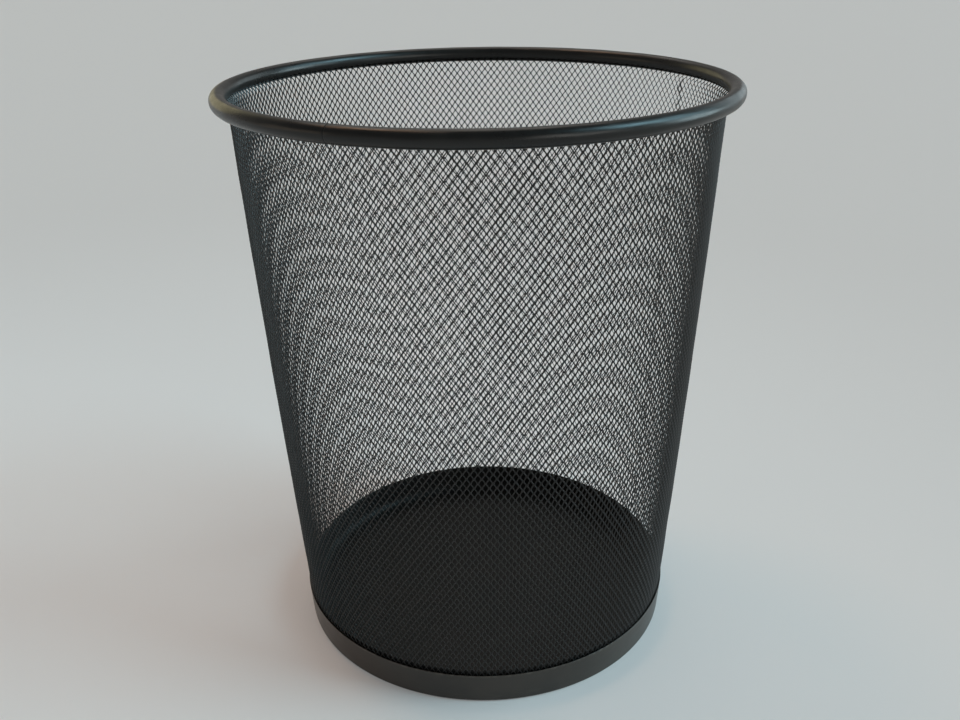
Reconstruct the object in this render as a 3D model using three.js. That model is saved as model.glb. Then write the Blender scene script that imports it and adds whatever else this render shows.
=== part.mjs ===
// Round steel-mesh wastebasket, about 18 litres, in millimetres, +Z up.
// The origin is on the floor, at the middle of the ring that the basket stands on.
//
// Four pressed and rolled steel pieces, joined for good:
//   mesh_wall  expanded-steel sheet rolled to a slightly bellied cone; here a plain skin of the same outer
//              surface and depth, with its top edge turned outward into the slot of the rim
//   rim        tube rolled from strip, its slot facing in and down, closed on the top edge of the mesh
//   base_pan   pressed floor with a skirt that stands up inside the mesh
//   base_band  smooth hoop round the foot of the mesh, its lower edge turned in as the ring it stands on
import * as THREE from "three";

// ---- driving dimensions -------------------------------------------------------------------------
const HEIGHT = 342; // floor to the top of the rim
const RIM_OD = 295; // over the rim tube
const RIM_TUBE_D = 9.4; // outer diameter of the tube itself
const RIM_SHEET = 0.7;
const WALL_R_FOOT = 117.9; // outer radius of the mesh, projected down to the floor
const WALL_R_TOP = 138.1; // outer radius of the mesh just under the rim
const WALL_BELLY = 1.0; // how far the wall swells past a straight cone at half height
const WALL_DEPTH = 1.0; // expanded sheet is deeper than its 0.5 mm strands, because they are twisted
const WALL_FOOT_Z = 1.0; // lower edge of the mesh, just over the turned-in ring
const BAND_HEIGHT = 20;
const BAND_SHEET = 0.5;
const BAND_RING_IN = 109; // inner radius of the flat ring underneath
const BAND_CORNER = 1.6; // outside radius where the band turns under
const PAN_SHEET = 0.7;
const PAN_FLOOR_Z = 3.6; // upper face of the floor
const PAN_FILLET = 6; // inside radius between floor and skirt
const PAN_SKIRT_Z = 22.6; // top edge of the skirt
const GAP = 0.3; // clearance modelled between pieces that touch
const FLARE_R = 4.3; // radius at which the mesh turns outward into the rim
const FLARE_INTO = 1.9; // how far its edge reaches past the slot
const SLOT_WIDTH = 1.7; // slot of the rim tube
const SEGMENTS = 64; // facets round the axis, the same on every piece so that the gaps stay even

// ---- the wall's outer surface ---------------------------------------------------------------------
const rimR = RIM_TUBE_D / 2;
const rimC = new THREE.Vector2(RIM_OD / 2 - rimR, HEIGHT - rimR); // centre of the tube's section
const wallTopZ = HEIGHT - RIM_TUBE_D;
const wallR = (z) => {
  const t = z / wallTopZ;
  return (
    WALL_R_FOOT +
    (WALL_R_TOP - WALL_R_FOOT) * t +
    WALL_BELLY * 4 * t * (1 - t)
  );
};
const wallTilt = (z) => {
  const t = z / wallTopZ;
  return Math.atan(
    (WALL_R_TOP - WALL_R_FOOT + WALL_BELLY * 4 * (1 - 2 * t)) / wallTopZ,
  );
};

// Middle line of the mesh's top edge: an arc that leaves the wall and points at the tube's centre.
// It starts at height z0; the tilt is measured from the vertical.
function flareFrom(z0) {
  const a0 = wallTilt(z0);
  const start = new THREE.Vector2(wallR(z0) - WALL_DEPTH / 2, z0);
  const centre = new THREE.Vector2(
    start.x + FLARE_R * Math.cos(a0),
    start.y - FLARE_R * Math.sin(a0),
  );
  const at = (a) =>
    new THREE.Vector2(
      centre.x - FLARE_R * Math.cos(a),
      centre.y + FLARE_R * Math.sin(a),
    );
  return { a0, at };
}
// How far the line leaving the arc at tilt a passes the tube's centre: zero when it points at it.
function miss(flare, a) {
  const p = flare.at(a);
  return (rimC.x - p.x) * Math.cos(a) - (rimC.y - p.y) * Math.sin(a);
}
const flare = flareFrom(330.6);
let low = 0.5,
  high = 1.3;
for (let i = 0; i < 60; i++) {
  const mid = (low + high) / 2;
  if (miss(flare, low) * miss(flare, mid) <= 0) high = mid;
  else low = mid;
}
const flareTilt = (low + high) / 2;
const flareEnd = flare.at(flareTilt);
const flareDir = new THREE.Vector2(Math.sin(flareTilt), Math.cos(flareTilt));
const slotAngle = Math.atan2(-flareDir.y, -flareDir.x); // where the slot sits on the tube's section

// ---- lathe helpers ----------------------------------------------------------------------------------
// A closed outline in the radius-height plane, listed anticlockwise, turned about the vertical axis.
function turned(name, outline, material) {
  const geometry = new THREE.LatheGeometry(outline, SEGMENTS);
  geometry.rotateX(Math.PI / 2);
  const mesh = new THREE.Mesh(geometry, material);
  mesh.name = name;
  return mesh;
}
const V = (r, z) => new THREE.Vector2(r, z);
const closed = (points) => [...points, points[0].clone()];
function arc(cx, cz, r, from, to, steps) {
  const points = [];
  for (let i = 0; i <= steps; i++) {
    const a = from + ((to - from) * i) / steps;
    points.push(V(cx + r * Math.cos(a), cz + r * Math.sin(a)));
  }
  return points;
}

// ---- finishes: black powder coat on steel -------------------------------------------------------
const rimCoat = new THREE.MeshStandardMaterial({
  color: 0x101413,
  roughness: 0.34,
  metalness: 0.1,
});
const meshCoat = new THREE.MeshStandardMaterial({
  color: 0x0e0f10,
  roughness: 0.45,
  metalness: 0.1,
});
const baseCoat = new THREE.MeshStandardMaterial({
  color: 0x141312,
  roughness: 0.5,
  metalness: 0.1,
});

const basket = new THREE.Group();
basket.name = "wastebasket";

// ---- mesh_wall ------------------------------------------------------------------------------------
{
  const heights = [WALL_FOOT_Z, 60, 120, 180, 240, 295];
  const outer = heights.map((z) => V(wallR(z), z));
  const inner = heights.map((z) => V(wallR(z) - WALL_DEPTH, z));
  for (let i = 0; i <= 3; i++) {
    const a = flare.a0 + ((flareTilt - flare.a0) * i) / 3;
    const p = flare.at(a);
    const side = V((Math.cos(a) * WALL_DEPTH) / 2, (-Math.sin(a) * WALL_DEPTH) / 2);
    outer.push(p.clone().add(side));
    inner.push(p.clone().sub(side));
  }
  const tip = V(
    rimC.x - flareDir.x * (rimR - RIM_SHEET / 2 - FLARE_INTO),
    rimC.y - flareDir.y * (rimR - RIM_SHEET / 2 - FLARE_INTO),
  );
  const side = V(
    (Math.cos(flareTilt) * WALL_DEPTH) / 2,
    (-Math.sin(flareTilt) * WALL_DEPTH) / 2,
  );
  outer.push(tip.clone().add(side));
  inner.push(tip.clone().sub(side));
  basket.add(
    turned("mesh_wall", closed([...outer, ...inner.reverse()]), meshCoat),
  );
}

// ---- rim --------------------------------------------------------------------------------------------
{
  const half = Math.asin(SLOT_WIDTH / 2 / (rimR - RIM_SHEET));
  const from = slotAngle + half,
    to = slotAngle + 2 * Math.PI - half;
  // Facets meet exactly at the lowest, outermost, top and innermost points, so the sizes are true.
  const q = Math.PI / 2;
  const outside = [
    ...arc(rimC.x, rimC.y, rimR, from, -q, 2).slice(0, -1),
    ...arc(rimC.x, rimC.y, rimR, -q, 2 * q, 15),
    ...arc(rimC.x, rimC.y, rimR, 2 * q, to, 2).slice(1),
  ];
  const inside = arc(rimC.x, rimC.y, rimR - RIM_SHEET, to, from, 14);
  basket.add(turned("rim", closed([...outside, ...inside]), rimCoat));
}

// ---- base_pan ---------------------------------------------------------------------------------------
{
  const out = (z) => wallR(z) - WALL_DEPTH - GAP; // outer face of the skirt
  const cz = PAN_FLOOR_Z + PAN_FILLET;
  const cr = out(cz) - PAN_SHEET - PAN_FILLET;
  const under = PAN_FILLET + PAN_SHEET;
  basket.add(
    turned(
      "base_pan",
      [
        V(0, PAN_FLOOR_Z - PAN_SHEET),
        ...arc(cr, cz, under, -Math.PI / 2, 0, 5),
        V(out(PAN_SKIRT_Z), PAN_SKIRT_Z),
        V(out(PAN_SKIRT_Z) - PAN_SHEET, PAN_SKIRT_Z),
        ...arc(cr, cz, PAN_FILLET, 0, -Math.PI / 2, 5),
        V(0, PAN_FLOOR_Z),
      ],
      baseCoat,
    ),
  );
}

// ---- base_band --------------------------------------------------------------------------------------
{
  const inn = (z) => wallR(z) + GAP; // inner face of the hoop
  const out = (z) => inn(z) + BAND_SHEET;
  const cr = out(BAND_CORNER) - BAND_CORNER,
    cz = BAND_CORNER;
  const r = BAND_CORNER - BAND_SHEET;
  basket.add(
    turned(
      "base_band",
      closed([
        V(BAND_RING_IN, 0),
        ...arc(cr, cz, BAND_CORNER, -Math.PI / 2, 0, 4),
        V(out(BAND_HEIGHT), BAND_HEIGHT),
        V(inn(BAND_HEIGHT), BAND_HEIGHT),
        ...arc(cr, cz, r, 0, -Math.PI / 2, 3),
        V(BAND_RING_IN, BAND_SHEET),
      ]),
      baseCoat,
    ),
  );
}

export default basket;
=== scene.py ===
import math

import bpy
import numpy as np
from mathutils import Matrix, Vector


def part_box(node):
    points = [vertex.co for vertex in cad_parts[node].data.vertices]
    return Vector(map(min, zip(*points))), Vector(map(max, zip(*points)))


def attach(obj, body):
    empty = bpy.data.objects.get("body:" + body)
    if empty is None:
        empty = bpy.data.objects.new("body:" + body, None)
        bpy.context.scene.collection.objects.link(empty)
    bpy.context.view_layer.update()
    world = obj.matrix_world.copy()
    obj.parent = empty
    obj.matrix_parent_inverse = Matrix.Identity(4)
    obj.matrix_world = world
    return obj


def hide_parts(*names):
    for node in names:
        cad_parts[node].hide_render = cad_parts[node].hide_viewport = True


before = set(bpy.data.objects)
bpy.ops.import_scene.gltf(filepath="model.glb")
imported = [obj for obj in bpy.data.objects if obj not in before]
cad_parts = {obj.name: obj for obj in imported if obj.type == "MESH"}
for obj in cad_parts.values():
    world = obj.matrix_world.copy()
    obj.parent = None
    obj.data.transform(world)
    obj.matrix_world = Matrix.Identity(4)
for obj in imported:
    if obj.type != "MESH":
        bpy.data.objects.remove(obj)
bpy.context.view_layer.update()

# Lengths in this file are millimetres, in the row frame, until put() turns them into metres.
MM = 0.001

# ---- the frame's own dimensions, as packed -----------------------------------------------------
rim_lo, rim_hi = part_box("rim")
RIM_OD = (rim_hi.x - rim_lo.x) / MM
HEIGHT = rim_hi.z / MM
BAND_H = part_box("base_band")[1].z / MM
PAN_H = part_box("base_pan")[1].z / MM

RIM_TUBE_D = 9.4
RIM_SHEET = 0.7
WALL_R_FOOT, WALL_R_TOP, WALL_BELLY = 117.9, 138.1, 1.0
WALL_DEPTH = 1.0
WALL_FOOT_Z = 1.0
BAND_SHEET = 0.5
BAND_RING_IN = 109.0
BAND_CORNER = 1.6
PAN_SHEET = 0.7
PAN_FLOOR_Z = 3.6
PAN_FILLET = 6.0
GAP = 0.3
FLARE_R, FLARE_INTO, FLARE_Z0 = 4.3, 1.9, 330.6

RIM_R = RIM_TUBE_D / 2
RIM_C = np.array([RIM_OD / 2 - RIM_R, HEIGHT - RIM_R])
WALL_TOP = HEIGHT - RIM_TUBE_D


def wall_r(z):
    """Outer radius of the mesh wall at height z."""
    t = z / WALL_TOP
    return WALL_R_FOOT + (WALL_R_TOP - WALL_R_FOOT) * t + WALL_BELLY * 4 * t * (1 - t)


def wall_tilt(z):
    t = z / WALL_TOP
    return math.atan(
        (WALL_R_TOP - WALL_R_FOOT + WALL_BELLY * 4 * (1 - 2 * t)) / WALL_TOP
    )


# The flared top edge: an arc that leaves the wall and points at the middle of the rim tube.
_a0 = wall_tilt(FLARE_Z0)
_centre = np.array(
    [
        wall_r(FLARE_Z0) - WALL_DEPTH / 2 + FLARE_R * math.cos(_a0),
        FLARE_Z0 - FLARE_R * math.sin(_a0),
    ]
)


def flare_at(a):
    return _centre + FLARE_R * np.array([-math.cos(a), math.sin(a)])


def _miss(a):
    p = flare_at(a)
    return (RIM_C[0] - p[0]) * math.cos(a) - (RIM_C[1] - p[1]) * math.sin(a)


_low, _high = 0.5, 1.3
for _ in range(60):
    _mid = (_low + _high) / 2
    if _miss(_low) * _miss(_mid) <= 0:
        _high = _mid
    else:
        _low = _mid
FLARE_TILT = (_low + _high) / 2
FLARE_DIR = np.array([math.sin(FLARE_TILT), math.cos(FLARE_TILT)])
SLOT_ANGLE = math.atan2(-FLARE_DIR[1], -FLARE_DIR[0])


def smooth_noise(seed, waves, low=1, high=6):
    """A smooth periodic function of angle and height, made of a few seeded waves, of about unit size."""
    rng = np.random.default_rng(seed)
    m = rng.integers(low, high + 1, waves)
    n = rng.uniform(-high, high, waves)
    p = rng.uniform(0, 2 * math.pi, waves)
    g = rng.uniform(0.5, 1.0, waves)
    g /= math.sqrt((g**2).sum() / 2)

    def f(theta, h):
        total = 0.0
        for mi, ni, pi, gi in zip(m, n, p, g):
            total = total + gi * np.cos(mi * theta + ni * h + pi)
        return total

    return f


# ---- helpers -------------------------------------------------------------------------------------
def put(name, verts, quads, normals=None, attribute=None, tris=None):
    """A new object from points in millimetres and quads. normals: one per vertex. attribute: {name: values}."""
    me = bpy.data.meshes.new(name)
    verts = np.asarray(verts, float) * MM
    quads = np.asarray(quads, np.int64).reshape(-1, 4)
    tris = (
        np.zeros((0, 3), np.int64)
        if tris is None
        else np.asarray(tris, np.int64).reshape(-1, 3)
    )
    me.vertices.add(len(verts))
    me.vertices.foreach_set("co", verts.astype(np.float32).ravel())
    loops = np.concatenate([quads.ravel(), tris.ravel()]).astype(np.int32)
    me.loops.add(len(loops))
    me.loops.foreach_set("vertex_index", loops)
    starts = np.concatenate(
        [np.arange(len(quads)) * 4, len(quads) * 4 + np.arange(len(tris)) * 3]
    ).astype(np.int32)
    me.polygons.add(len(starts))
    me.polygons.foreach_set("loop_start", starts)
    me.update(calc_edges=True)
    me.validate()
    me.polygons.foreach_set("use_smooth", np.ones(len(me.polygons), bool))
    for key, values in (attribute or {}).items():
        a = me.attributes.new(key, "FLOAT", "POINT")
        a.data.foreach_set("value", np.asarray(values, np.float32))
    if normals is not None:
        me.normals_split_custom_set_from_vertices(np.asarray(normals, np.float32))
    ob = bpy.data.objects.new(name, me)
    bpy.context.scene.collection.objects.link(ob)
    return ob


def point_normals(verts, quads, tris=None):
    """Area-weighted vertex normals, which keep a large face flat beside a narrow rounded edge."""
    total = np.zeros_like(verts)
    for faces in (quads, tris):
        if faces is None or not len(faces):
            continue
        a, b, c, d = (verts[faces[:, i]] for i in (0, 1, 2, -1))
        n = np.cross(c - a, d - b) if faces.shape[1] == 4 else np.cross(b - a, c - a)
        for i in range(faces.shape[1]):
            for axis in range(3):
                total[:, axis] += np.bincount(
                    faces[:, i], weights=n[:, axis], minlength=len(verts)
                )
    size = np.linalg.norm(total, axis=1, keepdims=True)
    return total / np.maximum(size, 1e-12)


def rounded(corners, longest=3.0):
    """An outline of (radius, height) points from corners (r, z, fillet), with long sides cut into shorter ones.
    Also gives, for each point, whether it lies on a small rounded edge."""
    pts = np.array([c[:2] for c in corners], float)
    out, edge = [], []
    n = len(pts)
    for i, (_, _, f) in enumerate(corners):
        p, a, b = pts[i], pts[i - 1], pts[(i + 1) % n]
        u, v = a - p, b - p
        u, v = u / np.linalg.norm(u), v / np.linalg.norm(v)
        if f <= 0:
            ring = [p]
        else:
            turn = math.pi - math.acos(np.clip(u @ v, -1, 1))
            back = f * math.tan(turn / 2)
            mid = p + (u + v) / np.linalg.norm(u + v) * f / math.cos(turn / 2)
            s, e = p + u * back - mid, p + v * back - mid
            steps = max(4, int(math.degrees(turn) / (9 if f > 1 else 18)))
            a0 = math.atan2(s[1], s[0])
            da = (math.atan2(e[1], e[0]) - a0 + math.pi) % (2 * math.pi) - math.pi
            ring = [
                mid + f * np.array([math.cos(a0 + da * k / steps), math.sin(a0 + da * k / steps)])
                for k in range(steps + 1)
            ]
        if out:
            gap = ring[0] - out[-1]
            cuts = int(np.linalg.norm(gap) / longest)
            for k in range(1, cuts + 1):
                out.append(start + gap * k / (cuts + 1))
                edge.append(0.0)
        for q in ring:
            out.append(q)
            edge.append(1.0 if 0 < f < 1 else 0.0)
        start = out[-1]
    return np.array(out), np.array(edge)


def lathe(outline, thetas, push=None, hub=False, edge=None):
    """Turns an outline of (radius, height) round the axis, anticlockwise in the radius-height plane.
    push(theta, point) moves the surface outward. hub: the outline is open, and its two ends are closed at the axis.
    Gives vertices, quads, triangles and the edge value of each vertex."""
    outline = np.asarray(outline, float)
    m, n = len(outline), len(thetas)
    if hub:
        tan = np.gradient(outline, axis=0)
    else:
        tan = np.roll(outline, -1, 0) - np.roll(outline, 1, 0)
    tan /= np.maximum(np.linalg.norm(tan, axis=1, keepdims=True), 1e-9)
    out2 = np.stack([tan[:, 1], -tan[:, 0]], -1)
    t, i = np.meshgrid(thetas, np.arange(m), indexing="ij")
    r, z = outline[i, 0], outline[i, 1]
    if push is not None:
        d = push(t, i)
        r, z = r + d * out2[i, 0], z + d * out2[i, 1]
    verts = np.stack([r * np.cos(t), r * np.sin(t), z], -1).reshape(-1, 3)
    j = np.arange(n)[:, None]
    k = np.arange(m - 1 if hub else m)[None, :]
    a, b = j * m + k, ((j + 1) % n) * m + k
    c, d = ((j + 1) % n) * m + (k + 1) % m, j * m + (k + 1) % m
    quads = np.stack([a, b, c, d], -1).reshape(-1, 4)
    tris = np.zeros((0, 3), np.int64)
    values = np.tile(np.zeros(m) if edge is None else edge, n)
    if hub:
        j = np.arange(n)
        low, high = len(verts), len(verts) + 1
        verts = np.concatenate(
            [verts, [[0, 0, verts[j * m, 2].mean()], [0, 0, verts[j * m + m - 1, 2].mean()]]]
        )
        values = np.concatenate([values, [0, 0]])
        nxt = (j + 1) % n
        tris = np.concatenate(
            [
                np.stack([np.full(n, low), nxt * m, j * m], -1),
                np.stack([np.full(n, high), j * m + m - 1, nxt * m + m - 1], -1),
            ]
        )
    return verts, quads, tris, values


def turned(name, *args, **kwargs):
    verts, quads, tris, edge = lathe(*args, **kwargs)
    return put(name, verts, quads, point_normals(verts, quads, tris), {"edge": edge}, tris)


def angles(count, joint=None, radius=1.0):
    """Evenly spread angles, with finer steps round a joint."""
    a = np.arange(count) * 2 * math.pi / count
    if joint is None:
        return a
    fine = joint + np.array([-2.4, -1.6, -1.0, -0.6, -0.4, -0.25, -0.12, 0, 0.12, 0.25, 0.4, 0.6, 1.0, 1.6, 2.4]) / radius
    away = np.abs((a - joint + math.pi) % (2 * math.pi) - math.pi) > 3.2 / radius
    return np.sort(np.concatenate([a[away], fine % (2 * math.pi)]))


# ---- mesh wall -------------------------------------------------------------------------------------
COLUMNS = 203
STRAND_L = 3.47  # from bond to bond
STRAND_W = 0.72
STRAND_T = 0.45
BOND_H = 0.85
TWIST = math.radians(27)
HAND = 1.0  # +1: each strand's right edge stands outward, seen from outside
CHAMFER = 0.11
THETA0 = 0.0

# Mid surface by arc length: straight part, flare arc, then straight into the slot.
_z = np.linspace(WALL_FOOT_Z, FLARE_Z0, 400)
_pts = [np.stack([wall_r(_z) - WALL_DEPTH / 2, _z], -1)]
_pts.append(np.array([flare_at(a) for a in np.linspace(_a0, FLARE_TILT, 24)[1:]]))
_tip = RIM_C - FLARE_DIR * (RIM_R - RIM_SHEET / 2 - FLARE_INTO)
_end = _pts[-1][-1]
_pts.append(_end + (_tip - _end) * np.linspace(0, 1, 8)[1:, None])
PROFILE = np.concatenate(_pts)
PROFILE_S = np.concatenate(
    [[0], np.cumsum(np.linalg.norm(np.diff(PROFILE, axis=0), axis=1))]
)
_tan = np.gradient(PROFILE, PROFILE_S, axis=0)
_tan /= np.linalg.norm(_tan, axis=1, keepdims=True)
PROFILE_N = np.stack([_tan[:, 1], -_tan[:, 0]], -1)


def on_profile(s):
    r = np.interp(s, PROFILE_S, PROFILE[:, 0])
    z = np.interp(s, PROFILE_S, PROFILE[:, 1])
    nr = np.interp(s, PROFILE_S, PROFILE_N[:, 0])
    nz = np.interp(s, PROFILE_S, PROFILE_N[:, 1])
    return r, z, nr, nz


def row_lengths():
    rows = [BOND_H / 2 + 0.05]
    while True:
        r = np.interp(rows[-1], PROFILE_S, PROFILE[:, 0])
        step = math.sqrt(STRAND_L**2 - (math.pi * r / COLUMNS) ** 2)
        if rows[-1] + step + BOND_H / 2 > PROFILE_S[-1]:
            return np.array(rows)
        rows.append(rows[-1] + step)


ROWS = row_lengths()


def lattice(rows, theta_of, offset=None, jitter=0.0, seed=1, width=STRAND_W):
    """Vertices of every bond, [row, column, 6 corners, 4 layers, xyz], from the rows' arc lengths and the bonds' angles.
    Corners: 0 T, 1 B, 2 LH, 3 LL, 4 RH, 5 RL. Layers run from the outer face to the inner face."""
    rng = np.random.default_rng(seed)
    rows_n, cols_n = theta_of.shape
    s = np.repeat(rows[:, None], cols_n, 1)
    r0 = np.interp(s, PROFILE_S, PROFILE[:, 0])
    wave_u, wave_s, wave_d = (
        smooth_noise(seed + q, 14, 2, 12) for q in (11, 22, 33)
    )
    h = s / 60.0
    free = np.clip((PROFILE_S[-1] - s) / 12.0, 0, 1) * np.clip(s / 22.0, 0.15, 1)
    du0 = jitter * free * (0.8 * wave_u(theta_of, h) + rng.normal(0, 0.35, s.shape))
    ds0 = jitter * free * (0.8 * wave_s(theta_of, h) + rng.normal(0, 0.35, s.shape))
    dd0 = jitter * free * (1.0 * wave_d(theta_of, h) + rng.normal(0, 0.20, s.shape))
    if offset is not None:
        dd0 = dd0 + offset(s, theta_of)
    w, c, e, t = width, BOND_H, CHAMFER, STRAND_T
    cf, sf = math.cos(TWIST), math.sin(TWIST) * HAND
    half = math.pi * r0 / COLUMNS
    step = np.gradient(rows)[:, None] + 0 * s
    sx, sy = half - w * cf, step - c
    size = np.sqrt(sx**2 + sy**2)
    sx, sy = sx / size, sy / size
    one = np.ones_like(s)
    # In-plane place of each corner, as (along the twisted width, up), and the way from the hole it borders.
    corner = [
        (0 * one, c / 2 * one, 0 * one, -1 / sx),
        (0 * one, -c / 2 * one, 0 * one, 1 / sx),
        (-w * one, c / 2 * one, one, sx / (1 + sy)),
        (-w * one, -c / 2 * one, one, -sx / (1 + sy)),
        (w * one, c / 2 * one, -one, sx / (1 + sy)),
        (w * one, -c / 2 * one, -one, -sx / (1 + sy)),
    ]
    # bonds differ a little in width
    grow = 1 + 0.5 * jitter * rng.normal(0, 1, s.shape)
    out = np.zeros((rows_n, cols_n, 6, 4, 3))
    layers = [(e, t / 2), (0.0, t / 2 - e), (0.0, -t / 2 + e), (e, -t / 2)]
    for q, (pu, ps, ku, ks) in enumerate(corner):
        for m, (inset, depth) in enumerate(layers):
            a = pu * grow + inset * ku  # along the twisted width
            b = ps + inset * np.clip(ks, -2.2, 2.2)
            u = a * cf - depth * sf + du0
            d = a * sf + depth * cf + dd0
            r, z, nr, nz = on_profile(s + b + ds0)
            rr, zz = r + d * nr, z + d * nz
            ang = theta_of + u / r0
            out[:, :, q, m, 0] = rr * np.cos(ang)
            out[:, :, q, m, 1] = rr * np.sin(ang)
            out[:, :, q, m, 2] = zz
    return out


def mesh_faces(rows_n, cols_n, parity, there, wrap):
    """Quads of the lattice, and for each the column of the bond it belongs to. there: which bonds exist."""
    k, j = np.meshgrid(np.arange(rows_n), np.arange(cols_n), indexing="ij")
    base = (k * cols_n + j) * 24

    def v(b, corner, layer):
        return b + corner * 4 + layer

    quads, owner = [], []

    def add(mask, *ids):
        quads.append(np.stack([np.broadcast_to(i, k.shape)[mask] for i in ids], -1))
        owner.append(j[mask])

    T, B, LH, LL, RH, RL = range(6)
    # the bond's two faces
    add(there, v(base, B, 0), v(base, RL, 0), v(base, RH, 0), v(base, T, 0))
    add(there, v(base, LL, 0), v(base, B, 0), v(base, T, 0), v(base, LH, 0))
    add(there, v(base, T, 3), v(base, RH, 3), v(base, RL, 3), v(base, B, 3))
    add(there, v(base, LH, 3), v(base, T, 3), v(base, B, 3), v(base, LL, 3))

    def wall(mask, b1, c1, b2, c2):
        """Three strips of a side wall from corner c1 to corner c2, with the open side on the left."""
        for m in range(3):
            add(mask, v(b1, c1, m), v(b2, c2, m), v(b2, c2, m + 1), v(b1, c1, m + 1))

    wall(there, base, RH, base, RL)
    wall(there, base, LL, base, LH)
    odd = ((k + parity) % 2).astype(bool)
    jr = np.where(odd, j + 1, j)
    jl = np.where(odd, j, j - 1)
    strands = {}
    for side, jn in (("r", jr), ("l", jl)):
        ok = (k + 1 < rows_n) & there
        if wrap:
            jn = jn % cols_n
        else:
            ok &= (jn >= 0) & (jn < cols_n)
        jc = np.clip(jn, 0, cols_n - 1)
        kc = np.clip(k + 1, 0, rows_n - 1)
        ok &= there[kc, jc]
        nb = (kc * cols_n + jc) * 24
        strands[side] = (ok, kc, jc)
        if side == "r":
            add(ok, v(base, T, 0), v(base, RH, 0), v(nb, B, 0), v(nb, LL, 0))
            add(ok, v(base, RH, 3), v(base, T, 3), v(nb, LL, 3), v(nb, B, 3))
            wall(ok, nb, B, base, RH)
            wall(ok, base, T, nb, LL)
            wall(there & ~ok, base, T, base, RH)
        else:
            add(ok, v(base, LH, 0), v(base, T, 0), v(nb, RL, 0), v(nb, B, 0))
            add(ok, v(base, T, 3), v(base, LH, 3), v(nb, B, 3), v(nb, RL, 3))
            wall(ok, nb, RL, base, T)
            wall(ok, base, LH, nb, B)
            wall(there & ~ok, base, LH, base, T)
    # lower ends: a bond with no strand coming into it from below on that side
    came_r = np.zeros_like(there)  # a strand from the lower left, which ends on LL-B
    ok, kc, jc = strands["r"]
    came_r[kc[ok], jc[ok]] = True
    came_l = np.zeros_like(there)  # a strand from the lower right, which ends on B-RL
    ok, kc, jc = strands["l"]
    came_l[kc[ok], jc[ok]] = True
    wall(there & ~came_r, base, B, base, LL)
    wall(there & ~came_l, base, RL, base, B)
    return np.concatenate(quads), np.concatenate(owner)


def split(name, verts, quads, normals, owner_piece, edge):
    """One object for each value of owner_piece."""
    made = []
    for p in range(int(owner_piece.max()) + 1):
        q = quads[owner_piece == p]
        used, q = np.unique(q, return_inverse=True)
        q = q.reshape(-1, 4)
        made.append(
            put(
                f"{name}_{p + 1}",
                verts[used],
                q,
                normals[used],
                {"edge": edge[used]},
            )
        )
    return made


SECTORS = 8
SEAM = math.radians(22.8)  # where the sheet's two edges lap
_k = np.arange(len(ROWS))[:, None]
_j = np.arange(COLUMNS)[None, :]
_theta = 2 * math.pi * (_j + 0.5 * (_k % 2)) / COLUMNS + THETA0
_v = lattice(ROWS, _theta, jitter=0.06, seed=7)
_q, _own = mesh_faces(
    len(ROWS), COLUMNS, 0, np.ones((len(ROWS), COLUMNS), bool), True
)
_verts = _v.reshape(-1, 3)
_edge = np.tile(np.array([0, 1, 1, 0], float), len(_verts) // 4)
_norm = point_normals(_verts, _q)
_piece = (_own * SECTORS) // COLUMNS
walls = split("mesh_wall", _verts, _q, _norm, _piece, _edge)

# The lap: the sheet's outer edge, one cell wide, lies over the first cells with its strands out of step with theirs.
# It runs from just over the foot band to just under the rim, and its sheared edge is ragged.
_rng = np.random.default_rng(41)
_srows = ROWS[(ROWS > 22.2) & (ROWS < 330.5)]
_sk = np.arange(len(_srows))[:, None]
_sj = np.arange(2)[None, :]
_first = int(np.round((SEAM - THETA0) / (2 * math.pi) * COLUMNS))
_phase = 0.44 + 0.04 * smooth_noise(5, 6, 2, 9)(0 * _sk + SEAM, _srows[:, None] / 50.0)
_stheta = 2 * math.pi * (_first + _sj + 0.5 * (_sk % 2) + _phase) / COLUMNS + THETA0
_there = np.ones(_stheta.shape, bool)
_there[:, 1] = (_sk[:, 0] % 2 == 0) & (_rng.random(len(_srows)) < 0.45)


def _lap(s, theta):
    near = np.clip((s - 22.0) / 12.0, 0, 1) * np.clip((331.0 - s) / 10.0, 0, 1)
    return 0.62 + 0.33 * near


_sv = lattice(_srows, _stheta, offset=_lap, jitter=0.07, seed=19, width=1.02)
_sq, _ = mesh_faces(len(_srows), 2, 0, _there, False)
_sverts = _sv.reshape(-1, 3)
_snorm = point_normals(_sverts, _sq)
_sedge = np.tile(np.array([0, 1, 1, 0], float), len(_sverts) // 4)
seam = split("mesh_seam", _sverts, _sq, _snorm, np.zeros(len(_sq), int), _sedge)[0]


# ---- rim, pan and band ---------------------------------------------------------------------------
def arc(cx, cz, r, a0, a1, n):
    a = np.linspace(a0, a1, n)
    return np.stack([cx + r * np.cos(a), cz + r * np.sin(a)], -1)


# The rim: a tube rolled from strip, its two long edges rounded and pinched on the mesh.
RIM_JOINT = math.radians(-118.0)
_lip = RIM_SHEET / 2
_mid_r = RIM_R - _lip
_half = math.asin((0.85 + _lip) / _mid_r)
_a, _b = SLOT_ANGLE + _half, SLOT_ANGLE + 2 * math.pi - _half
_outer = arc(*RIM_C, RIM_R, _a, _b, 84)
_inner = arc(*RIM_C, RIM_R - RIM_SHEET, _b, _a, 40)


def _lip_arc(angle, way):
    c = RIM_C + _mid_r * np.array([math.cos(angle), math.sin(angle)])
    turn = np.linspace(0, math.pi, 8)[1:-1]
    start = angle if way > 0 else angle + math.pi
    return c + _lip * np.stack([np.cos(start + turn), np.sin(start + turn)], -1)


rim_outline = np.concatenate([_outer, _lip_arc(_b, 1), _inner, _lip_arc(_a, -1)])
rim_edge = np.concatenate([np.zeros(84), np.ones(6), np.zeros(40), np.ones(6)])
_roll = smooth_noise(3, 16, 4, 40)
_ang_of = np.concatenate(
    [np.linspace(_a, _b, 84), np.full(6, _b), np.linspace(_b, _a, 40), np.full(6, _a)]
)


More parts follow.
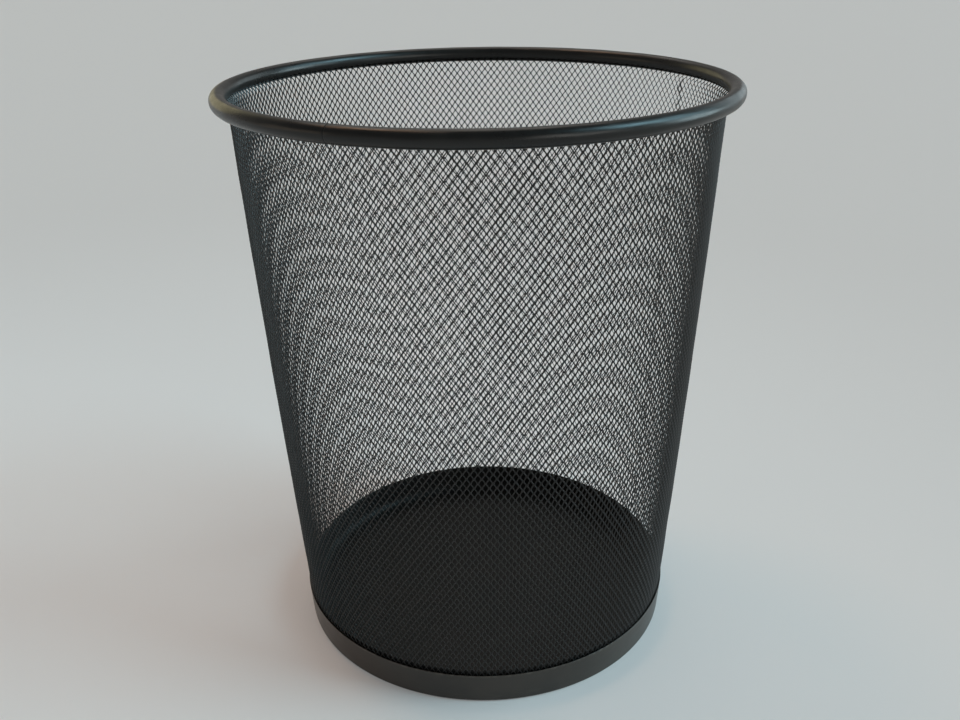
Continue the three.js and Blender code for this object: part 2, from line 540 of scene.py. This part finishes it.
def _rim_push(t, i):
    x = ((t - RIM_JOINT + math.pi) % (2 * math.pi) - math.pi) * RIM_C[0]
    on_outside = i < 84
    groove = -0.26 * np.exp(-((x / 0.22) ** 2)) - 0.05 * np.exp(-((x / 1.1) ** 2))
    rolled = 0.022 * _roll(t, _ang_of[i] * 0.25) - 0.03
    return on_outside * (groove + rolled)


rim = turned(
    "rim_tube",
    rim_outline,
    angles(420, RIM_JOINT, RIM_C[0]),
    push=_rim_push,
    edge=rim_edge,
)

# The pan: pressed floor with a rounded corner and a skirt; its floor is not perfectly flat.
_pan_out = lambda z: wall_r(z) - WALL_DEPTH - GAP
_hub = 10.0
_corners = [
    (_hub, PAN_FLOOR_Z - PAN_SHEET, 0),
    (_pan_out(PAN_FLOOR_Z - PAN_SHEET), PAN_FLOOR_Z - PAN_SHEET, PAN_FILLET + PAN_SHEET),
    (_pan_out(PAN_H), PAN_H, 0.3),
    (_pan_out(PAN_H) - PAN_SHEET, PAN_H, 0.3),
    (_pan_out(PAN_FLOOR_Z) - PAN_SHEET, PAN_FLOOR_Z, PAN_FILLET),
    (_hub, PAN_FLOOR_Z, 0),
]
pan_outline, pan_edge = rounded(_corners, 6.0)
_dish = smooth_noise(8, 10, 1, 4)


def _pan_push(t, i):
    r = pan_outline[i, 0]
    flat = (pan_outline[i, 1] < PAN_FLOOR_Z + 0.01) * np.clip((104 - r) / 30, 0, 1) * np.clip(r / 30, 0, 1)
    up = np.where(pan_outline[i, 1] > PAN_FLOOR_Z - 0.01, 1.0, -1.0)
    return flat * up * (0.10 * _dish(t, r / 40.0) + 0.22 * np.cos(math.pi * r / 104))


pan = turned("pan", pan_outline, angles(240), push=_pan_push, hub=True, edge=pan_edge)

# The foot band: a hoop with a clean top edge, turned in at the foot, its ends butted under the mesh's lap.
_inn = lambda z: wall_r(z) + GAP
_out = lambda z: _inn(z) + BAND_SHEET
_corners = [
    (BAND_RING_IN, 0.0, 0.2),
    (_out(0.0), 0.0, BAND_CORNER),
    (_out(BAND_H), BAND_H, 0.22),
    (_inn(BAND_H), BAND_H, 0.22),
    (_inn(BAND_SHEET), BAND_SHEET, BAND_CORNER - BAND_SHEET),
    (BAND_RING_IN, BAND_SHEET, 0.2),
]
band_outline, band_edge = rounded(_corners, 2.5)
_hoop = smooth_noise(13, 14, 2, 26)


def _band_push(t, i):
    x = ((t - SEAM + math.pi) % (2 * math.pi) - math.pi) * 118.0
    r, z = band_outline[i, 0], band_outline[i, 1]
    outside = (r > _out(z) - 0.12) & (z > 1.2) & (z < BAND_H - 0.3)
    groove = -0.24 * np.exp(-((x / 0.2) ** 2))
    return outside * (groove + 0.018 * _hoop(t, z / 18.0) - 0.03)


band = turned(
    "foot_band",
    band_outline,
    angles(420, SEAM, 118.0),
    push=_band_push,
    edge=band_edge,
)


# ---- materials -------------------------------------------------------------------------------------
class Nodes:
    """Short names for the shader nodes that the finishes below are made of."""

    def __init__(self, name):
        self.material = bpy.data.materials.new(name)
        self.material.use_nodes = True
        self.tree = self.material.node_tree
        self.shader = self.tree.nodes["Principled BSDF"]
        coordinates = self.tree.nodes.new("ShaderNodeTexCoord")
        self.place = coordinates.outputs["Object"]

    def link(self, a, b):
        self.tree.links.new(a, b)

    def noise(self, scale, detail=2.0, rough=0.5, stretch=None, offset=(0, 0, 0)):
        place = self.place
        if stretch is not None or offset != (0, 0, 0):
            m = self.tree.nodes.new("ShaderNodeMapping")
            m.inputs["Scale"].default_value = stretch or (1, 1, 1)
            m.inputs["Location"].default_value = offset
            self.link(place, m.inputs["Vector"])
            place = m.outputs["Vector"]
        n = self.tree.nodes.new("ShaderNodeTexNoise")
        n.inputs["Scale"].default_value = scale
        n.inputs["Detail"].default_value = detail
        n.inputs["Roughness"].default_value = rough
        self.link(place, n.inputs["Vector"])
        return n.outputs["Fac"]

    def spread(self, value, a, b, low=0.0, high=1.0):
        n = self.tree.nodes.new("ShaderNodeMapRange")
        n.interpolation_type = "SMOOTHSTEP"
        self.link(value, n.inputs["Value"])
        for key, v in (("From Min", a), ("From Max", b), ("To Min", low), ("To Max", high)):
            n.inputs[key].default_value = v
        return n.outputs["Result"]

    def math(self, kind, a, b=0.5, clamp=False):
        n = self.tree.nodes.new("ShaderNodeMath")
        n.operation = kind
        n.use_clamp = clamp
        for i, v in enumerate((a, b)):
            if hasattr(v, "is_linked"):
                self.link(v, n.inputs[i])
            else:
                n.inputs[i].default_value = v
        return n.outputs["Value"]

    def mix(self, factor, a, b):
        n = self.tree.nodes.new("ShaderNodeMix")
        n.data_type = "RGBA"
        self.link(factor, n.inputs["Factor"])
        for key, v in (("A", a), ("B", b)):
            socket = [s for s in n.inputs if s.name == key and s.type == "RGBA"][0]
            if hasattr(v, "is_linked"):
                self.link(v, socket)
            else:
                socket.default_value = (*v, 1)
        return [s for s in n.outputs if s.type == "RGBA"][0]

    def attribute(self, name):
        n = self.tree.nodes.new("ShaderNodeAttribute")
        n.attribute_type = "GEOMETRY"
        n.attribute_name = name
        return n.outputs["Fac"]

    def split(self):
        n = self.tree.nodes.new("ShaderNodeSeparateXYZ")
        self.link(self.place, n.inputs[0])
        return n.outputs

    def bump(self, height, strength, distance, under=None):
        n = self.tree.nodes.new("ShaderNodeBump")
        n.inputs["Strength"].default_value = strength
        n.inputs["Distance"].default_value = distance
        self.link(height, n.inputs["Height"])
        if under is not None:
            self.link(under, n.inputs["Normal"])
        return n.outputs["Normal"]


def powder(name, dark, light, rough, worn, wear=0.5, peel=0.00003, dust=None, rub=None, gloss=0.5, haze=0.0):
    """Black powder coat over steel. dark, light: the two tones that it wanders between. rough: (low, high).
    worn: colour where it has thinned, on edges. peel: height of its orange peel in metres. dust: (colour, amount) that
    settles on faces that look up. rub: (lowest, highest height in metres, amount) of scuffs, as along a foot. haze: how
    much the coat's fine grain pales towards its edges."""
    n = Nodes(name)
    drift = n.noise(14, 3, 0.55)
    cloud = n.noise(95, 4, 0.6, offset=(0.31, 0.17, 0.05))
    fleck = n.noise(1500, 2, 0.6)
    tone = n.spread(n.math("ADD", n.math("MULTIPLY", drift, 0.65), n.math("MULTIPLY", cloud, 0.35)), 0.36, 0.64)
    colour = n.mix(tone, dark, light)
    colour = n.mix(n.spread(fleck, 0.62, 0.80, 0.0, 0.35), colour, tuple(2.1 * c for c in light))
    roughness = n.spread(n.math("ADD", n.math("MULTIPLY", drift, 0.5), n.math("MULTIPLY", cloud, 0.5)), 0.34, 0.66, *rough)

    # coat thinned along sheared and rolled edges
    edge = n.attribute("edge")
    patchy = n.spread(n.noise(260, 4, 0.65, offset=(0.07, 0.4, 0.9)), 0.42, 0.66)
    thin = n.math("MULTIPLY", n.spread(edge, 0.25, 0.95), n.math("MULTIPLY", patchy, wear))
    colour = n.mix(thin, colour, worn)

    if rub is not None:
        low, high, amount = rub
        height = n.split()[2]
        zone = n.math("MULTIPLY", n.spread(height, high, low), amount)
        scuff = n.spread(n.noise(60, 6, 0.7, stretch=(1, 1, 5), offset=(0.9, 0.2, 0.1)), 0.50, 0.68)
        scuffed = n.math("MULTIPLY", zone, scuff)
        colour = n.mix(scuffed, colour, tuple(1.15 * c for c in worn))
        roughness = n.math("ADD", roughness, n.math("MULTIPLY", scuffed, 0.22), clamp=True)

    # fine rubbing marks, mostly in the gloss
    marks = n.spread(n.noise(38, 7, 0.72, stretch=(1.0, 1.0, 6.0), offset=(0.2, 0.6, 0.4)), 0.57, 0.70)
    roughness = n.math("ADD", roughness, n.math("MULTIPLY", marks, 0.07), clamp=True)

    if dust is not None:
        dust_colour, amount = dust
        geometry = n.tree.nodes.new("ShaderNodeNewGeometry")
        facing = n.tree.nodes.new("ShaderNodeSeparateXYZ")
        n.link(geometry.outputs["Normal"], facing.inputs[0])
        lying = n.spread(facing.outputs[2], 0.35, 0.95)
        film = n.spread(n.noise(420, 5, 0.7, offset=(0.5, 0.5, 0)), 0.46, 0.74)
        drifted = n.spread(n.noise(24, 3, 0.5, offset=(0.1, 0.9, 0)), 0.35, 0.7, 0.35, 1.0)
        layer = n.math("MULTIPLY", n.math("MULTIPLY", lying, film), n.math("MULTIPLY", drifted, amount))
        colour = n.mix(layer, colour, dust_colour)
        roughness = n.math("ADD", roughness, n.math("MULTIPLY", layer, 0.35), clamp=True)

    n.link(colour, n.shader.inputs["Base Color"])
    n.link(roughness, n.shader.inputs["Roughness"])
    peel_height = n.math("ADD", n.math("MULTIPLY", n.noise(620, 2, 0.5), 0.7), n.math("MULTIPLY", n.noise(2100, 1, 0.5), 0.3))
    normal = n.bump(peel_height, 1.0, peel)
    normal = n.bump(cloud, 1.0, peel * 0.9, under=normal)
    n.link(normal, n.shader.inputs["Normal"])
    n.shader.inputs["Specular IOR Level"].default_value = gloss
    n.shader.inputs["Sheen Weight"].default_value = haze
    n.shader.inputs["Sheen Roughness"].default_value = 0.45
    return n.material


mesh_finish = powder(
    "black_mesh_coat",
    (0.0042, 0.0045, 0.0047),
    (0.0086, 0.0088, 0.0086),
    (0.30, 0.43),
    (0.050, 0.047, 0.043),
    wear=0.45,
    peel=0.000018,
    dust=((0.080, 0.074, 0.067), 0.18),
    gloss=0.44,
    haze=0.035,
)
rim_finish = powder(
    "black_rim_coat",
    (0.0036, 0.0040, 0.0039),
    (0.0074, 0.0077, 0.0070),
    (0.26, 0.37),
    (0.060, 0.057, 0.052),
    wear=0.5,
    peel=0.000022,
    dust=((0.075, 0.069, 0.062), 0.08),
    gloss=0.38,
)
pan_finish = powder(
    "black_pan_coat",
    (0.0030, 0.0030, 0.0031),
    (0.0066, 0.0065, 0.0063),
    (0.46, 0.62),
    (0.052, 0.048, 0.044),
    wear=0.55,
    peel=0.000032,
    dust=((0.050, 0.046, 0.041), 0.16),
    gloss=0.24,
)
band_finish = powder(
    "black_band_coat",
    (0.0265, 0.0215, 0.0174),
    (0.0400, 0.0328, 0.0268),
    (0.31, 0.42),
    (0.085, 0.074, 0.062),
    wear=0.7,
    peel=0.000028,
    dust=((0.085, 0.078, 0.070), 0.15),
    rub=(0.0, 0.009, 0.35),
    gloss=0.38,
    haze=0.03,
)

for o, finish, slot in (
    *[(w, mesh_finish, "mesh_coat") for w in walls],
    (seam, mesh_finish, "mesh_coat"),
    (rim, rim_finish, "rim_coat"),
    (pan, pan_finish, "base_coat"),
    (band, band_finish, "base_coat"),
):
    o.data.materials.append(finish)
    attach(o, "root")
for o in [*walls, seam]:
    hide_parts("mesh_wall")
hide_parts("rim")
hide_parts("base_pan")
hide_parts("base_band")

# ---- stage ---------------------------------------------------------------------------------------
_ring = [(30 * math.cos(a), 30 * math.sin(a), 0.0) for a in np.linspace(0, 2 * math.pi, 97)[:-1]]
floor_mesh = bpy.data.meshes.new("stage_floor")
floor_mesh.from_pydata(_ring, [], [tuple(range(96))])
floor = bpy.data.objects.new("stage_floor", floor_mesh)
bpy.context.scene.collection.objects.link(floor)
floor.location.z = -0.0002
_floor_mat = bpy.data.materials.new("pale_floor_painted_glow")
_floor_mat.use_nodes = True
_fb = _floor_mat.node_tree.nodes["Principled BSDF"]
_fb.inputs["Base Color"].default_value = (0.725, 0.652, 0.628, 1)
_fb.inputs["Roughness"].default_value = 0.95
_fb.inputs["Specular IOR Level"].default_value = 0.1
# Painted light: the floor glows in a soft, cool-tinted pool centred left of the bin, 0.12 at its middle and gone by 1.2
# m. It is a painted pool of light that fills the bin's shadow on that side.
_fb.inputs["Emission Color"].default_value = (0.84, 0.96, 1.0, 1)
_ft = _floor_mat.node_tree
_fc = _ft.nodes.new("ShaderNodeTexCoord")
_pool_centre_distance = _ft.nodes.new("ShaderNodeVectorMath")
_pool_centre_distance.operation = "DISTANCE"
_pool_centre_distance.inputs[1].default_value = (-0.26, -0.10, 0.0)
_painted_light_pool = _ft.nodes.new("ShaderNodeMapRange")
_painted_light_pool.interpolation_type = "SMOOTHSTEP"
for _key, _value in (("From Min", 0.0), ("From Max", 1.2), ("To Min", 0.12), ("To Max", 0.0)):
    _painted_light_pool.inputs[_key].default_value = _value
_ft.links.new(_fc.outputs["Object"], _pool_centre_distance.inputs[0])
_ft.links.new(_pool_centre_distance.outputs["Value"], _painted_light_pool.inputs["Value"])
_ft.links.new(_painted_light_pool.outputs["Result"], _fb.inputs["Emission Strength"])
floor_mesh.materials.append(_floor_mat)

# A dim, even room that meets the floor without a hard horizon and darkens overhead.
world = bpy.data.worlds.new("studio")
bpy.context.scene.world = world
world.use_nodes = True
_wt = world.node_tree
_bg = _wt.nodes["Background"]
_wc = _wt.nodes.new("ShaderNodeTexCoord")
_ws = _wt.nodes.new("ShaderNodeSeparateXYZ")
_wr = _wt.nodes.new("ShaderNodeValToRGB")
_wt.links.new(_wc.outputs["Generated"], _ws.inputs[0])
_wt.links.new(_ws.outputs["Z"], _wr.inputs["Fac"])
_wt.links.new(_wr.outputs["Color"], _bg.inputs["Color"])
_ramp = _wr.color_ramp
_ramp.elements[0].position, _ramp.elements[0].color = 0.0, (0.46, 0.45, 0.43, 1)
_ramp.elements[1].position, _ramp.elements[1].color = 0.62, (0.16, 0.16, 0.16, 1)
_shoulder = _ramp.elements.new(0.13)
_shoulder.color = (0.285, 0.277, 0.265, 1)
_bg.inputs["Strength"].default_value = 1.0


def soft(name, azimuth, elevation, angle, power, colour):
    """A broad soft light far away. Azimuth 0 is the photographer's side, 90 the right; power is what it gives a face
    that looks at it, in watts per square metre."""
    a, e = math.radians(azimuth), math.radians(elevation)
    away = Vector((math.sin(a) * math.cos(e), -math.cos(a) * math.cos(e), math.sin(e)))
    l = bpy.data.lights.new(name, "SUN")
    l.angle = math.radians(angle)
    l.energy = power
    l.color = colour
    o = bpy.data.objects.new(name, l)
    o.location = away * 3
    o.rotation_euler = (-away).to_track_quat("-Z", "Y").to_euler()
    bpy.context.scene.collection.objects.link(o)
    o.visible_camera = False


soft("front_right", 40, 8, 34, 0.56, (1.0, 1.0, 0.95))
soft("window_front", 79, 39, 24, 1.42, (0.48, 0.85, 1.0))
soft("window_right", 106, 34, 26, 0.50, (0.50, 0.86, 1.0))
soft("right_low", 100, 7, 30, 1.30, (0.70, 0.93, 1.0))
soft("behind", 185, 54, 40, 0.46, (1.0, 0.94, 0.86))
soft("right_back", 142, 12, 30, 0.20, (0.76, 0.94, 1.0))
soft("back_left", 216, 11, 34, 0.19, (1.0, 0.88, 0.46))
soft("left_warm", 280, 6, 34, 0.16, (1.0, 0.80, 0.58))
soft("lamp_left_high", 228, 63, 16, 0.34, (1.0, 0.60, 0.36))

# ---- camera ----------------------------------------------------------------------------------------
cam_data = bpy.data.cameras.new("camera")
cam_data.sensor_width = 36
cam_data.lens = 1000.14 / 960 * 36
cam = bpy.data.objects.new("camera", cam_data)
bpy.context.scene.collection.objects.link(cam)
bpy.context.scene.camera = cam
_p, _y, _r = math.radians(24.125), math.radians(-0.107), math.radians(-0.936)
_fwd = Vector(
    (math.sin(_y) * math.cos(_p), math.cos(_y) * math.cos(_p), -math.sin(_p))
)
_right0 = Vector((math.cos(_y), -math.sin(_y), 0))
_up0 = _right0.cross(_fwd)
_right = _right0 * math.cos(_r) + _up0 * math.sin(_r)
_up = _up0 * math.cos(_r) - _right0 * math.sin(_r)
cam.matrix_world = Matrix(
    (
        (_right.x, _up.x, -_fwd.x, 0.0),
        (_right.y, _up.y, -_fwd.y, -0.57722),
        (_right.z, _up.z, -_fwd.z, 0.42708),
        (0, 0, 0, 1),
    )
)
bpy.context.scene.view_settings.view_transform = "Standard"
